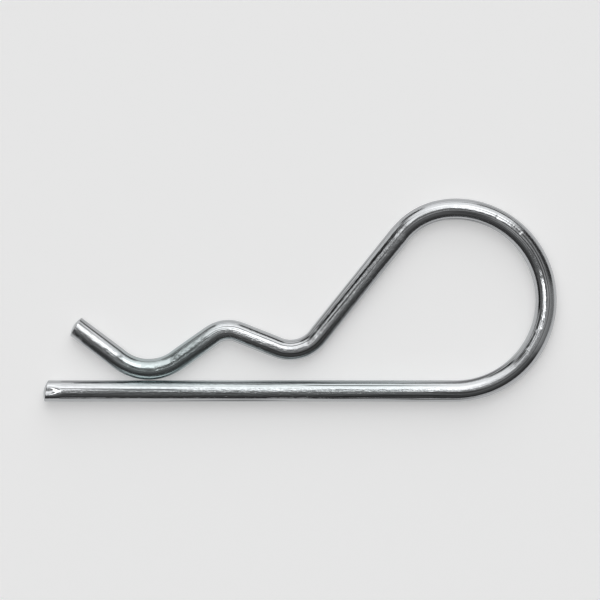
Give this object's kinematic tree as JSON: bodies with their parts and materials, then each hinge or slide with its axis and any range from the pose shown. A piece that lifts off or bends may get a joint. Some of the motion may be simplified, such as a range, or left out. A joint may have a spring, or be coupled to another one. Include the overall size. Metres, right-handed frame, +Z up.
{
  "type": "hitch pin r clip",
  "caption": "Bent round-wire R clip with a straight leg, a waved spring arm and a round pull loop, which locks a cross-drilled hitch pin.",
  "frame": {"origin": "bottom centre of the clip's box, on the plane that the clip lies on", "axes": "+X from the open end to the pull loop, +Y from the leg to the arm, +Z up and square to the plane of the wire"},
  "size_m": [0.096, 0.038, 0.004],
  "materials": {
    "zinc_plated_steel": "bright zinc plate over drawn spring steel wire"
  },
  "bodies": {
    "root": {"clip_wire": "zinc_plated_steel"}
  },
  "joints": []
}
